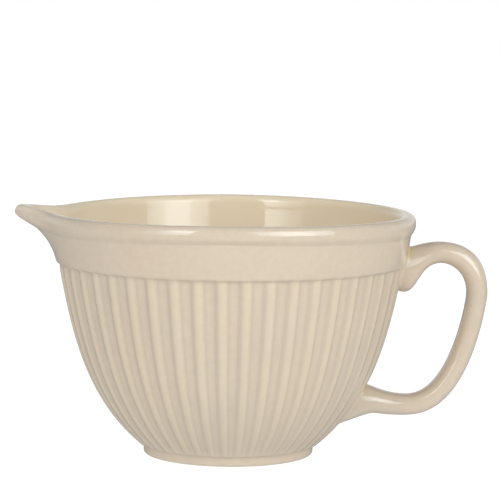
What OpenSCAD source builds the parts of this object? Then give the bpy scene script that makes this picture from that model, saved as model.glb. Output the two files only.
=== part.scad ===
// Batter bowl. An earthenware mixing bowl with a reeded wall, a plain band under a rolled rim,
// a pouring lip drawn out of that rim, and a loop handle that is cast apart and luted on with slip.
// It stands on its foot ring. The lip points along -X and the handle along +X, and the origin lies
// on the table under the middle of the whole object.

/* [Bowl] */
// Outside diameter of the rolled rim
rim_d = 208.8; // [206:0.2:216]
// Height of the rim, away from the lip
rim_h = 139; // [136:0.5:150]
// Width of the rim's rounded edge
rim_w = 9.2; // [8:0.1:11]
// Depth of the rounded edge, from its top to its widest place
rim_drop = 5.7; // [4:0.1:7]
// Height of the rim's roll, from the rim down to the band
roll_h = 12; // [10.5:0.1:16]
// How far the roll stands out past the band
roll_proud = 2.8; // [1.6:0.1:4]
// Height of the band, from its lower edge up to the roll
band_w = 18; // [15:0.5:24]
// How far the band flares outwards from its lower edge to the roll
band_flare = 2.9; // [1.5:0.1:4]
// Thickness of the wall
wall_t = 5.6; // [4:0.1:7]
// Thickness of the floor
floor_t = 6.5; // [5:0.1:9]

/* [Reeds] */
// Number of reeds round the wall
reed_n = 46; // [30:1:60]
// How far the band's lower edge stands out past the reeds
band_proud = 1.1; // [0.5:0.1:2]
// How far a reed stands out, under the band
reed_relief = 1.3; // [0.6:0.1:1.8]
// How far a reed stands out, at the foot
reed_foot_relief = 0.7; // [0.4:0.1:1]
// Turn of the first reed from the handle, in degrees
reed_turn = 1.1; // [0:0.1:7]

/* [Foot] */
// Outside diameter of the foot ring
foot_d = 96; // [92:0.5:104]
// How far the foot ring stands out past the reeds
foot_proud = 0.3; // [0.3:0.1:3]
// Height of the foot ring
foot_h = 3.6; // [3:0.1:6]
// Width of the foot ring
foot_w = 5.5; // [4:0.1:8]
// Depth of the recess inside the foot ring
foot_recess = 2.2; // [1:0.1:2.8]
// Rounding of the foot ring's edges
foot_round = 1.4; // [0.8:0.1:1.6]

/* [Pouring lip] */
// Reach of the lip's tip past the rim
lip_out = 18.4; // [14:0.2:26]
// Rise of the lip's tip over the rim
lip_rise = 1.9; // [0:0.1:6]
// Half of the angle that the lip takes at the rim, in degrees
lip_angle = 5.2; // [4:0.1:8]
// Half of the angle that the lip takes at the band's lower edge, in degrees
lip_foot_angle = 11; // [8:0.5:14]

/* [Handle] */
// Reach of the handle past the rim
handle_out = 41.4; // [38:0.2:52]
// Depth of the handle's top under the rim
handle_top_drop = 17; // [16:0.1:19]
// Depth under the rim at which the handle reaches furthest out
handle_elbow_drop = 45.5; // [41:0.5:53]
// Height of the handle's lowest place
handle_low_h = 22.6; // [19:0.1:26]
// Thickness of the strap, across its path
strap_t = 11.9; // [10:0.1:14]
// Width of the strap
strap_w = 19; // [14:0.5:24]
// Width of the handle where it meets the wall
root_w = 25; // [20:0.5:28]
// Depth of the upper root's top edge under the rim
upper_root_drop = 20.2; // [19:0.1:23]
// Depth under the rim of the upper root's lower end, which lies on the reeds
upper_tail_drop = 45.7; // [41:0.1:49]
// Height of the lower root's top edge
lower_root_h = 40.2; // [38:0.1:46]
// Height of the lower root's bottom edge
lower_tail_h = 17.3; // [16.6:0.1:19]

/* [Luting slip] */
// Thickness of the slip between handle and wall, over the reeds
slip_t = 0.8; // [0.4:0.1:1.2]
// How far the slip stands out round a root
slip_proud = 1.2; // [0.6:0.1:2]

/* [Hidden] */
$fn = 180;

glaze = [0.85, 0.78, 0.69];
slip_glaze = [0.84, 0.76, 0.62];

// One length by which every cut runs past what it cuts
overrun = 2;
// How far the reeded wall stands up into the band, how far the band's inside lies behind the
// wall's there, and how the wall leans back to it, as a share of that height
tenon_h = 1;
seam_t = 0.15;
tenon_lean_share = 0.6;
// How far the band bows outwards between its edges, outside and inside
band_bow = 0.35;
// How far the handle's ends start inside the wall before the seat trims them
root_sink = 4;
// Middle of the whole object, which the bowl's axis stands beside
axis_x = (lip_out - handle_out) / 2;

rim_r = rim_d / 2;
band_top_r = rim_r - roll_proud;
band_r = band_top_r - band_flare;
reeds_top_r = band_r - band_proud;
foot_r = foot_d / 2;
reeds_foot_r = foot_r - foot_proud;
roll_end_h = rim_h - roll_h;
band_h = roll_end_h - band_w;
floor_h = foot_recess + floor_t;
rim_crest_r = rim_r - rim_w / 2;
rim_widest_h = rim_h - rim_drop;

// The wall is a straight flare with a round belly: the belly's share of the growth in radius,
// and the share of the height over which the belly fades
belly_share = 0.74;
belly_turn_share = 0.322;

// Rows of points up the wall, closer together at the foot, where it curves most
row_n = 13;
row_power = 1.35;

// One reed across its period: shares of the period, each with its share of the relief
reed_shares = [[0.37, 0], [0.45, 0.75], [0.57, 1], [0.75, 1], [0.87, 0.75], [0.95, 0]];
reed_middle_share = 0.66;

// The floor's flat middle and the height of its round corner, as shares of the foot's radius,
// and how far up the corner its curve is drawn towards
floor_flat_share = 0.62;
floor_corner_share = 0.16;
knee_share = 0.25;
// The wall leans at the floor: its level thickness there, as a share of its true thickness
floor_lean_share = 1.386;

// Half of the plan angle that the lip is made in, in degrees, and the power of its flare
lip_sector = 45;
lip_flare_power = 2.7;
lip_columns = [0, 1.6, 3.2, 5, 7, 9.5, 12.5, 16, 20, 25, 30, 35, 40, lip_sector];
lip_cols = [
    for (i = [len(lip_columns) - 1:-1:1]) -lip_columns[i],
    for (a = lip_columns) a
];

// Points round a handle section, and the power of its oval
section_n = 20;
section_power = 2.3;
// Stations along each stretch of the handle: upper root, shoulder, grip and lower root
stretch_steps = [10, 6, 9, 7];

// Where the handle's top lies, as a share of its reach past the band
top_place_share = 0.39;
// How steeply the rails leave the wall, as rise for each length outwards
upper_root_slope_share = 0.2;
upper_tail_slope_share = -0.75;
lower_root_slope_share = -0.29;
lower_tail_slope_share = 0.37;
// Lengths of the rails' tangents, as shares of the stretch that they start or end
upper_root_share = [0.4, 0.39];
upper_tail_share = [0.66, 0.5];
shoulder_outer_share = [0.27, 0.62];
shoulder_inner_share = [0.26, 0.51];
grip_outer_share = [0.034, 0.436];
grip_inner_share = [0.124, 0.335];
lower_root_share = [0.45, 0.37];
lower_tail_share = [0.68, 0.8];
// Width of the fan of reeds that the slip is cut to, as a share of the root's width
near_handle_share = 1.4;

function mix(a, b, t) = a + (b - a) * t;
function ease(t) = t * t * (3 - 2 * t);
function unit(v) = v / norm(v);
function polar(r, a, z) = [r * cos(a), r * sin(a), z];

// Share of the growth in radius that the wall has made at share t of its height
function belly_curve(t) =
    (1 - belly_share) * t
    + belly_share * (1 - exp(-t / belly_turn_share)) / (1 - exp(-1 / belly_turn_share));

// Radius over the reeds at height z
function reeds_r(z) =
    mix(reeds_foot_r, reeds_top_r, belly_curve((z - foot_h) / (band_h - foot_h)));

// Radius of the smooth inside at height z
inside_floor_r = reeds_r(floor_h) - wall_t * floor_lean_share;
inside_top_r = reeds_top_r - wall_t;
function inside_r(z) =
    mix(inside_floor_r, inside_top_r, belly_curve((z - floor_h) / (band_h - floor_h)));

// Heights of the wall's rows of points, with one more inside the band
wall_rows = [
    for (i = [0:row_n]) mix(foot_h, band_h, pow(i / row_n, row_power)),
    band_h + tenon_h
];

// Relief of the reeds at height z
function relief(z) = mix(reed_foot_relief, reed_relief, (z - foot_h) / (band_h - foot_h));

// Angle and relief share of point k round the wall
function reed_point(k) = let (n = len(reed_shares)) reed_shares[k - floor(k / n) * n];
function reed_angle(k) =
    reed_turn + (floor(k / len(reed_shares)) + reed_point(k)[0] - reed_middle_share) * 360 / reed_n;
function reed_share(k) = reed_point(k)[1];

// A solid fan of the reeded wall about the axis, from point first to point last round the wall.
// A whole turn closes on itself, and a part of one is closed by two flat faces through the axis.
module reeded_fan(first, last, rows) {
    whole = last - first >= reed_n * len(reed_shares);
    cols = whole ? reed_n * len(reed_shares) : last - first + 1;
    m = len(rows);
    wall = [
        for (i = [0:cols - 1], z = rows)
            polar(reeds_r(z) - relief(z) * (1 - reed_share(first + i)), reed_angle(first + i), z)
    ];
    axis_low = len(wall);
    axis_high = axis_low + 1;
    polyhedron(
        points = concat(wall, [[0, 0, rows[0]], [0, 0, rows[m - 1]]]),
        faces = [
            for (i = [0:cols - (whole ? 1 : 2)], j = [0:m - 2])
                let (a = i * m + j, b = ((i + 1) % cols) * m + j)
                each [[a, a + 1, b], [b, a + 1, b + 1]],
            for (i = [0:cols - (whole ? 1 : 2)])
                let (a = i * m, b = ((i + 1) % cols) * m)
                each [[a, b, axis_low], [b + m - 1, a + m - 1, axis_high]],
            if (!whole) [axis_low, axis_high, for (j = [m - 1:-1:0]) j],
            if (!whole) [axis_high, axis_low, for (j = [0:m - 1]) (cols - 1) * m + j]
        ],
        convexity = 6
    );
}

// Half of a bowl-shaped space, to revolve: everything inside the wall above the floor
knee_steps = [for (i = [0:8]) i / 8];
module inside_profile() {
    flat_r = foot_r * floor_flat_share;
    corner_h = floor_h + foot_r * floor_corner_share;
    corner_r = inside_r(corner_h);
    knee_r = inside_r(floor_h + (corner_h - floor_h) * knee_share);
    knee = [for (t = knee_steps) [
        pow(1 - t, 2) * flat_r + 2 * t * (1 - t) * knee_r + t * t * corner_r,
        mix(floor_h, corner_h, t * t)
    ]];
    rise = [for (i = [1:row_n]) let (z = mix(corner_h, band_h, i / row_n)) [inside_r(z), z]];
    over_h = tenon_h + overrun;
    polygon(concat(
        [[0, floor_h]], knee, rise,
        [[inside_top_r + over_h * tenon_lean_share, band_h + over_h], [0, band_h + over_h]]
    ));
}

// The reeded wall, hollowed down to the floor
module reeded_wall() {
    difference() {
        reeded_fan(0, reed_n * len(reed_shares), wall_rows);
        rotate_extrude() inside_profile();
    }
}

// The foot ring and the base inside it, under the reeds
module foot() {
    rotate_extrude() difference() {
        union() {
            square([foot_r - foot_round, foot_h]);
            translate([0, foot_round]) square([foot_r, foot_h - foot_round]);
            translate([foot_r - foot_round, foot_round]) circle(foot_round, $fn = 48);
        }
        translate([0, -overrun]) square([foot_r - foot_w, foot_recess + overrun]);
    }
}

// Outline of the band and rim at one bearing. flare moves it outwards and rise lifts it, both
// in full at the rim and not at all at the band's lower edge.
outer_steps = [for (i = [0:6]) i / 6];
edge_steps = [for (i = [1:9]) i / 9];
function flare_at(z, full_h) = pow(min(1, max(0, (z - band_h) / (full_h - band_h))), lip_flare_power);
function bow(t) = band_bow * 4 * t * (1 - t);
function band_points(grow) = [
    for (t = outer_steps) [mix(band_r, band_top_r, t) + bow(t) + grow, mix(band_h, roll_end_h, t)]
];
function rim_points() = concat(
    // up the band
    [for (p = band_points(0)) [p[0], p[1], 1]],
    // out under the roll
    [for (t = edge_steps) [mix(band_top_r, rim_r, sin(90 * t)), mix(roll_end_h, rim_widest_h, t), 1]],
    // over the rounded edge, from its outside to its inside
    [for (t = edge_steps) let (a = 180 * t)
        [rim_crest_r + rim_w / 2 * cos(a), rim_widest_h + rim_drop * sin(a), a < 90 ? 1 : 0]],
    // down the inside
    [for (t = outer_steps) if (t > 0)
        [mix(rim_r - rim_w, inside_top_r + seam_t, t) + bow(t), mix(rim_widest_h, band_h, t), 0]]
);
function flared(p, flare, rise) =
    let (g = flare_at(p[1], p[2] == 1 ? rim_widest_h : rim_h))
    [p[0] + flare * g, p[1] + rise * g];

// How much of the lip's reach is left at angle a from its tip, at height z
function cosh(x) = (exp(x) + exp(-x)) / 2;
function lip_share(a, z) =
    let (
        half = mix(lip_foot_angle, lip_angle, min(1, (z - band_h) / (rim_widest_h - band_h))),
        edge = 1 / cosh(lip_sector / half)
    )
    (1 / cosh(a / half) - edge) / (1 - edge);

// The band and rolled rim, all round but for the lip's sector. It starts on the plane y = 0.
module rim_ring() {
    rotate_extrude(angle = 360 - 2 * lip_sector) polygon([for (p = rim_points()) [p[0], p[1]]]);
}

// The pouring lip: the same outline, carried through the sector that the ring leaves, while it is
// drawn out and up
module lip() {
    outline = rim_points();
    m = len(outline);
    n = len(lip_cols);
    points = [
        for (a = lip_cols, p = outline)
            let (
                s = lip_share(abs(a), p[1]),
                q = flared(p, lip_out * s, lip_rise * s)
            )
            polar(q[0], a - lip_sector, q[1])
    ];
    polyhedron(
        points = points,
        faces = [
            for (i = [0:n - 2], j = [0:m - 1])
                let (a = i * m + j, b = i * m + (j + 1) % m, c = a + m, d = b + m)
                each [[a, b, c], [b, d, c]],
            for (j = [0:(m - 3) / 2])
                let (a = [j, j + 1, m - 1 - j], b = [j + 1, m - 2 - j, m - 1 - j], e = (n - 1) * m)
                each [[a[0], a[2], a[1]], [b[0], b[2], b[1]], [for (v = a) v + e], [for (v = b) v + e]]
        ],
        convexity = 6
    );
}

// A cubic curve from p to q, which leaves along u and arrives along v. The shares are of the
// distance between p and q.
function rail(p, u, q, v, share, t) =
    let (
        d = norm(q - p),
        a = p + unit(u) * d * share[0],
        b = q - unit(v) * d * share[1]
    )
    pow(1 - t, 3) * p + 3 * pow(1 - t, 2) * t * a + 3 * (1 - t) * t * t * b + pow(t, 3) * q;

// Named places on the handle's two rails, in the plane of the handle: [radius, height]
handle_reach = rim_r + handle_out;
handle_top_h = rim_h - handle_top_drop;
handle_elbow_h = rim_h - handle_elbow_drop;
upper_root_h = rim_h - upper_root_drop;
upper_tail_h = rim_h - upper_tail_drop;
out_x = handle_reach - band_top_r;
top_x = band_top_r + out_x * top_place_share;
function way(slope) = [1, slope];
root_up = [band_top_r, upper_root_h] - root_sink * way(upper_root_slope_share);
tail_up = [reeds_r(upper_tail_h), upper_tail_h] - root_sink * way(upper_tail_slope_share);
root_low = [reeds_r(lower_root_h), lower_root_h] - root_sink * way(lower_root_slope_share);
tail_low = [reeds_r(lower_tail_h), lower_tail_h] - root_sink * way(lower_tail_slope_share);
top_out = [top_x, handle_top_h];
top_in = [top_x, handle_top_h - strap_t];
elbow_out = [handle_reach, handle_elbow_h];
elbow_in = [handle_reach - strap_t, handle_elbow_h];
low_out = [band_top_r, handle_low_h];
low_in = [band_top_r, handle_low_h + strap_t];

// Outer and inner point of the rails, and the width, at share t of stretch s
function rails(s, t) =
    s == 0 ? [
        rail(root_up, way(upper_root_slope_share), top_out, [1, 0], upper_root_share, t),
        rail(tail_up, way(upper_tail_slope_share), top_in, [1, 0], upper_tail_share, t),
        mix(root_w, strap_w, ease(t))
    ]
    : s == 1 ? [
        rail(top_out, [1, 0], elbow_out, [0, -1], shoulder_outer_share, t),
        rail(top_in, [1, 0], elbow_in, [0, -1], shoulder_inner_share, t),
        strap_w
    ]
    : s == 2 ? [
        rail(elbow_out, [0, -1], low_out, [-1, 0], grip_outer_share, t),
        rail(elbow_in, [0, -1], low_in, [-1, 0], grip_inner_share, t),
        strap_w
    ]
    : [
        rail(low_out, [-1, 0], tail_low, -way(lower_tail_slope_share), lower_tail_share, t),
        rail(low_in, [-1, 0], root_low, -way(lower_root_slope_share), lower_root_share, t),
        mix(strap_w, root_w, ease(t))
    ];

// The oval section at one station, grown outwards all round by grow
function oval(station, grow) =
    let (
        mid = (station[0] + station[1]) / 2,
        across = unit(station[0] - station[1]),
        half_t = norm(station[0] - station[1]) / 2 + grow,
        half_w = station[2] / 2 + grow
    )
    [for (k = [0:section_n - 1])
        let (
            a = 360 * k / section_n,
            u = sign(cos(a)) * pow(abs(cos(a)), 2 / section_power) * half_t,
            w = sign(sin(a)) * pow(abs(sin(a)), 2 / section_power) * half_w,
            p = mid + across * u
        )
        [p[0], w, p[1]]
    ];

// A loft through the ovals of the given stations
module strap(stations, grow) {
    n = len(stations);
    m = section_n;
    polyhedron(
        points = [for (s = stations) each oval(s, grow)],
        faces = [
            for (i = [0:n - 2], k = [0:m - 1])
                let (a = i * m + k, b = i * m + (k + 1) % m)
                each [[a, b, a + m], [b, b + m, a + m]],
            [for (k = [m - 1:-1:0]) k],
            [for (k = [0:m - 1]) (n - 1) * m + k]
        ],
        convexity = 8
    );
}

stations = concat(
    [rails(0, 0)],
    [for (s = [0:3], i = [1:stretch_steps[s]]) rails(s, i / stretch_steps[s])]
);
upper_root = [for (i = [0:stretch_steps[0]]) rails(0, i / stretch_steps[0])];
lower_root = [for (i = [0:stretch_steps[3]]) rails(3, i / stretch_steps[3])];

// Everything inside the face that the handle's roots are seated on. Under the band it leaves the
// reeds early, where the slip fills the band's step.
module seat() {
    rotate_extrude() polygon(concat(
        [[0, foot_h]],
        [for (i = [0:row_n - 1]) [reeds_r(wall_rows[i]) + slip_t, wall_rows[i]]],
        band_points(slip_t),
        [[0, roll_end_h]]
    ));
}

// The bowl's own outside near the handle, to cut the slip to: the band, and the reeds in a fan
module outside_near_handle() {
    half_fan = asin(min(1, root_w * near_handle_share / 2 / reeds_r(lower_tail_h)));
    fan = ceil(half_fan * reed_n / 360) + 1;
    reeded_fan(-fan * len(reed_shares), fan * len(reed_shares), wall_rows);
    rotate_extrude()
        polygon(concat([[0, band_h]], band_points(0), [[0, roll_end_h]]));
}

// The slip that beds one root of the handle on the wall and stands a little proud round it
module slip_bed(root) {
    difference() {
        intersection() {
            strap(root, slip_proud);
            seat();
        }
        outside_near_handle();
    }
}

module bowl() {
    color(glaze) translate([axis_x, 0, 0]) {
        foot();
        reeded_wall();
        rotate([0, 0, 180 + lip_sector]) {
            rim_ring();
            lip();
        }
    }
}

module handle() {
    color(glaze) translate([axis_x, 0, 0]) difference() {
        strap(stations, 0);
        seat();
    }
}

module upper_handle_joint() {
    color(slip_glaze) translate([axis_x, 0, 0]) slip_bed(upper_root);
}

module lower_handle_joint() {
    color(slip_glaze) translate([axis_x, 0, 0]) slip_bed(lower_root);
}

bowl();
handle();
upper_handle_joint();
lower_handle_joint();
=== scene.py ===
# %% [markdown]
# # A batter bowl in glazed earthenware
#
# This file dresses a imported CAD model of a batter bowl. The real bowl is slip-cast: a reeded wall,
# a plain band under a rolled rim, a pouring lip drawn out of that rim, and a loop handle that is
# cast apart and stuck on with liquid clay. Each cell below makes one of those things, or its
# glaze, as a surface worked out with numpy. Lengths are in metres, and +Z is up.

import bpy
import numpy as np
from mathutils import Matrix, Vector


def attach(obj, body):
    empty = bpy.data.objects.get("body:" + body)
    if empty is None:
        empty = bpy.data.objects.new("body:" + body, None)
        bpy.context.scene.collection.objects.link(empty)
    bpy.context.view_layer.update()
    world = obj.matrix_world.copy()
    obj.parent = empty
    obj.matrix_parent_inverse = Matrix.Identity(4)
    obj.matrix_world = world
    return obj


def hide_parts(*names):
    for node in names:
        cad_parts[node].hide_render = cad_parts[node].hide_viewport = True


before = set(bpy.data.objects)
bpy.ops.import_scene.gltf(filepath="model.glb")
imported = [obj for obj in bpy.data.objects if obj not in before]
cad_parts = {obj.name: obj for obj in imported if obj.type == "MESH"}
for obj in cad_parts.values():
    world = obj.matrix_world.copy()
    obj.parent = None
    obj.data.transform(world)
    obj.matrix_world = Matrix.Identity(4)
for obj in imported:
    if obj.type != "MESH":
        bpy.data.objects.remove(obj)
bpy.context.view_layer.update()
print("CAD nodes:", sorted(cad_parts))

# %% [markdown]
# ## Sizes
#
# The shapes repeat the CAD model's sizes, so that each dressed piece lies where its solid lies.
# Three places follow the photograph a little more closely: the foot ring is taller and stands half
# a millimetre to one side, the lip is fuller underneath, and the soft rim has sagged. The bowl's
# own axis stands a little to the left of the origin, because the handle reaches further than the
# lip.

# %% Sizes of the bowl
AXIS_X = -0.0115
RIM_R, RIM_H, RIM_W, RIM_DROP = 0.10436, 0.1390, 0.0092, 0.0057
ROLL_TALL, BAND_TALL, BAND_FLARE, BAND_PROUD, BAND_BOW = 0.0120, 0.0180, 0.0029, 0.0011, 0.00035
WALL_T, FLOOR_T = 0.0056, 0.0065
FOOT_H, FOOT_R, FOOT_W, FOOT_RECESS, FOOT_PROUD = 0.0036, 0.0480, 0.0055, 0.0022, 0.0003
RING_R, RING_H, RING_ROUND, RING_BEVEL, RING_SHIFT = 0.0482, 0.0058, 0.0020, 0.0004, -0.0005

WIDEST_H, CREST_R = RIM_H - RIM_DROP, RIM_R - RIM_W / 2
ROLL_END_H, BAND_TOP_R = RIM_H - ROLL_TALL, 0.1016
BAND_H, BAND_R = ROLL_END_H - BAND_TALL, BAND_TOP_R - BAND_FLARE
REEDS_TOP_R, REEDS_FOOT_R = BAND_R - BAND_PROUD, FOOT_R - FOOT_PROUD
FLOOR_H, INSIDE_FLOOR_R, INSIDE_TOP_R = FOOT_RECESS + FLOOR_T, 0.0460, REEDS_TOP_R - WALL_T
print("rim diameter", 2 * RIM_R, "height", RIM_H)

# %% Curves of the wall
FLARE, FADE = 0.26, 0.322


def belly(t):
    """Share of the growth in radius at share t of the height: a straight flare, 0.26 t, plus a
    round belly that fades as exp(-t / 0.322)."""
    return FLARE * t + (1 - FLARE) * (1 - np.exp(-t / FADE)) / (1 - np.exp(-1 / FADE))


def reeds_radius(z):
    """Radius over the reeds: from the foot's to the top's, along the belly curve."""
    return REEDS_FOOT_R + (REEDS_TOP_R - REEDS_FOOT_R) * belly((z - FOOT_H) / (BAND_H - FOOT_H))


def inside_radius(z):
    """Radius of the smooth inside: the same curve, one wall further in."""
    growth = INSIDE_TOP_R - INSIDE_FLOOR_R
    return INSIDE_FLOOR_R + growth * belly((z - FLOOR_H) / (BAND_H - FLOOR_H))


def smoothstep(t):
    """3t^2 - 2t^3 between 0 and 1, and flat beyond."""
    t = np.clip(t, 0, 1)
    return t * t * (3 - 2 * t)


print("radius over the reeds at half height", round(float(reeds_radius(0.055)), 4))

# %% [markdown]
# ## The bowl's outline
#
# On the real bowl every edge is rounded twice: once by the sponge, and once by the glaze, which
# draws thin over an edge and pools in a corner. The outline could be built from arcs, but a
# simpler way is to draw it with sharp corners and then run a soft brush along it: a running mean
# with a bell-shaped weight. Convex edges come back a little, and hollow corners fill up. A softer
# brush goes over the two hollow corners outside, under the band and over the foot ring.

# %% The outline with sharp corners
EDGE_POWER, ROWS_POWER = 0.8, 1.2
INSIDE_STEP = 0.00015
WALL_POINTS, BEND_POINTS, ARC_POINTS, EDGE_POINTS, INSIDE_POINTS = 240, 12, 60, 90, 160
FLAT_SHARE, CORNER_SHARE, KNEE_SHARE = 0.62, 0.16, 0.25


def inside_corner(t):
    """Radius and height of the round corner between wall and floor: a parabola over a knee."""
    corner_h = FLOOR_H + FOOT_R * CORNER_SHARE
    corner_r = inside_radius(corner_h)
    knee_r = inside_radius(FLOOR_H + (corner_h - FLOOR_H) * KNEE_SHARE)
    radius = (1 - t) ** 2 * corner_r + 2 * t * (1 - t) * knee_r + t * t * FOOT_R * FLAT_SHARE
    return radius, corner_h + (FLOOR_H - corner_h) * (1 - (1 - t) ** 2)


def outline_corners():
    """Points (radius, height, reeding, side) from the middle of the underside, over the rim, to
    the middle of the floor. Reeding is 1 where the wall is reeded, and side is 1 outside."""
    wall_z = RING_H + (BAND_H - RING_H) * np.linspace(0, 1, WALL_POINTS) ** ROWS_POWER
    bend = np.linspace(0, np.pi / 2, BEND_POINTS)
    t = np.linspace(0, 1, ARC_POINTS)
    bow = BAND_BOW * 4 * t * (1 - t)
    edge = np.linspace(0, np.pi, EDGE_POINTS)
    corner_r, corner_z = inside_corner(t)
    inside_z = corner_z[0] + (BAND_H - corner_z[0]) * np.linspace(1, 0, INSIDE_POINTS)
    rows = [
        # underside, recess and foot ring
        ([0, FOOT_R - FOOT_W, FOOT_R - FOOT_W + RING_BEVEL, RING_R - RING_ROUND],
         [FOOT_RECESS, FOOT_RECESS, 0, 0], 0, 1),
        (RING_R - RING_ROUND * (1 - np.sin(bend)), RING_ROUND * (1 - np.cos(bend)), 0, 1),
        ([RING_R], [RING_H], 0, 1),
        # reeded wall
        (reeds_radius(wall_z), wall_z, 1, 1),
        # band, with its slight bow
        (BAND_R + (BAND_TOP_R - BAND_R) * t + bow, BAND_H + (ROLL_END_H - BAND_H) * t, 0, 1),
        # out under the roll
        (BAND_TOP_R + (RIM_R - BAND_TOP_R) * np.sin(np.pi / 2 * t),
         ROLL_END_H + (WIDEST_H - ROLL_END_H) * t, 0, 1),
        # over the rounded edge
        (CREST_R + RIM_W / 2 * np.sign(np.cos(edge)) * np.abs(np.cos(edge)) ** EDGE_POWER,
         WIDEST_H + RIM_DROP * np.sin(edge) ** EDGE_POWER, 0, edge < np.pi / 2),
        # down the inside
        (RIM_R - RIM_W + (INSIDE_TOP_R + INSIDE_STEP - RIM_R + RIM_W) * t + bow,
         WIDEST_H + (BAND_H - WIDEST_H) * t, 0, 0),
        (inside_radius(inside_z), inside_z, 0, 0),
        # round the corner onto the floor
        (corner_r, corner_z, 0, 0),
        ([0], [FLOOR_H], 0, 0),
    ]
    parts = [np.stack(np.broadcast_arrays(*(np.asarray(value, float) for value in row)), 1) for row in rows]
    return np.concatenate(parts)


corners = outline_corners()
print("points in the sharp outline", len(corners))

# %% The brushed outline
BRUSH_STEP, BRUSH, SOFT_BRUSH = 0.0001, 0.0004, 0.0009
UNDER_BAND, OVER_RING = 0.0024, 0.0018


def brushed(points, spread):
    """Resamples a path at equal steps of its length and averages it with the bell-shaped weight
    exp(-d^2 / 2 spread^2), where d is the distance along the path. Both ends lie on the axis, so
    past them the radius goes on with its sign turned."""
    length = np.concatenate([[0], np.cumsum(np.hypot(*np.diff(points[:, :2], axis=0).T))])
    keep = np.concatenate([[True], np.diff(length) > 1e-9])
    s = np.arange(0, length[-1], BRUSH_STEP)
    even = np.stack([np.interp(s, length[keep], column[keep]) for column in points.T], 1)
    reach = int(4 * spread / BRUSH_STEP)
    weight = np.exp(-0.5 * (np.arange(-reach, reach + 1) * BRUSH_STEP / spread) ** 2)
    padded = np.pad(even, ((reach, reach), (0, 0)), mode="edge")
    padded[:reach, 0] = -even[1:reach + 1, 0][::-1]
    padded[-reach:, 0] = -even[-reach - 1:-1, 0][::-1]
    return np.stack([np.convolve(column, weight / weight.sum(), "valid") for column in padded.T], 1)


outline, softer = brushed(corners, BRUSH), brushed(corners, SOFT_BRUSH)
height = outline[:, 1:2]
pooled = np.exp(-((height - BAND_H) / UNDER_BAND) ** 2) + np.exp(-((height - RING_H) / OVER_RING) ** 2)
outline += (softer - outline) * np.minimum(pooled, 1) * np.round(outline[:, 3:4])
outline[:, 1] = np.maximum(outline[:, 1], 0)
print("brushed outline:", len(outline), "points, top at", round(float(outline[:, 1].max()), 5))

# %% Rows where the outline bends most
ROWS, BEND_PULL, FADE_PULL = 168, 0.012, 0.004


def rows_along(points, count):
    """Places count rows so that each spans the same share of length, plus 12 mm times the turning
    of the path, plus 4 mm times the change in reeding."""
    d = np.diff(points[:, :2], axis=0)
    turn = np.abs(np.diff(np.unwrap(np.arctan2(d[:, 1], d[:, 0]))))
    cost = np.hypot(*d.T) + BEND_PULL * np.concatenate([[0], turn])
    cost += FADE_PULL * np.abs(np.diff(points[:, 2]))
    total = np.concatenate([[0], np.cumsum(cost)])
    at = np.interp(np.linspace(0, total[-1], count), total, np.arange(len(points)))
    return np.stack([np.interp(at, np.arange(len(points)), column) for column in points.T], 1)


profile = rows_along(outline, ROWS)
print("rows:", len(profile))

# %% [markdown]
# ## Reeds and lip
#
# The reeds are narrow ribs with rounded tops that fade out just under the band. They take their
# height away from the radius, so the ribs' crests stay on the CAD model's size. A bump map would
# be cheaper, but the reeds are deep enough to show in the silhouette, so they are real shape. The
# lip is drawn out of the soft rim with a finger: its reach dies away to both sides like
# 1 / cosh(angle), and downwards as a power of the height.

# %% One reed across its period
REEDS, REED_TURN = 46, np.radians(1.1)
REED_CREST, REED_HALF, REED_POWER = 0.66, 0.29, 2.6
REED_COLUMNS = np.array([0.16, 0.35, 0.385, 0.425, 0.48, 0.56, 0.66, 0.76, 0.84, 0.895, 0.935, 0.97])
FINE_STEPS, FINE_BRUSH, FINE_REACH = 400, 7.0, 24


def reed_height(share):
    """Height of a reed at a share of its period, from 0 in the flat to 1 on the crest:
    1 - p^2.6, where p is the distance from the crest over its half-width, softly rounded off."""
    fine = np.linspace(0, 1, FINE_STEPS, endpoint=False)
    raw = np.clip(1 - (np.abs(fine - REED_CREST) / REED_HALF) ** REED_POWER, 0, 1)
    weight = np.exp(-0.5 * (np.arange(-FINE_REACH, FINE_REACH + 1) / FINE_BRUSH) ** 2)
    soft = np.convolve(np.tile(raw, 3), weight / weight.sum(), "same")[FINE_STEPS:2 * FINE_STEPS]
    return np.interp(np.mod(share, 1), np.append(fine, 1), np.append(soft, soft[0]))


print("reed height at the crest", round(float(reed_height(np.array([REED_CREST]))[0]), 3))

# %% The reeding on the wall
RELIEF_FOOT, RELIEF_TOP = 0.0007, 0.0013
FADE_OUT, FADE_OUT_TO, FADE_IN, FADE_IN_START = 0.005, 0.55, 0.004, 0.0005


def relief(z):
    """Depth of the reeding, from 0.7 mm at the foot to 1.3 mm under the band."""
    return RELIEF_FOOT + (RELIEF_TOP - RELIEF_FOOT) * (z - FOOT_H) / (BAND_H - FOOT_H)


def reeded(radius, z, weight, bearing):
    """Radius with the reeding taken off: r - relief (1 - height) weight. Over the last 5 mm under
    the band the height falls smoothly to 0.55, and over the first 4 mm above the foot ring the
    reeding fades in."""
    share = (bearing - REED_TURN) * REEDS / (2 * np.pi) + REED_CREST
    height = reed_height(share) * (FADE_OUT_TO + (1 - FADE_OUT_TO) * smoothstep((BAND_H - z) / FADE_OUT))
    weight = weight * smoothstep((z - RING_H + FADE_IN_START) / FADE_IN)
    return radius - relief(z) * (1 - height) * weight


print("depth of the reeding at half height", round(float(relief(0.055)) * 1000, 2), "mm")

# %% The lip's share of a place on the rim
LIP_REACH, LIP_RISE, LIP_POWER = 0.0184, 0.0018, 2.45
LIP_HALF_LOW, LIP_HALF_TOP, LIP_END = np.radians(11), np.radians(5.2), np.radians(45)
NOSE_SOFTNESS = 0.002


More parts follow.
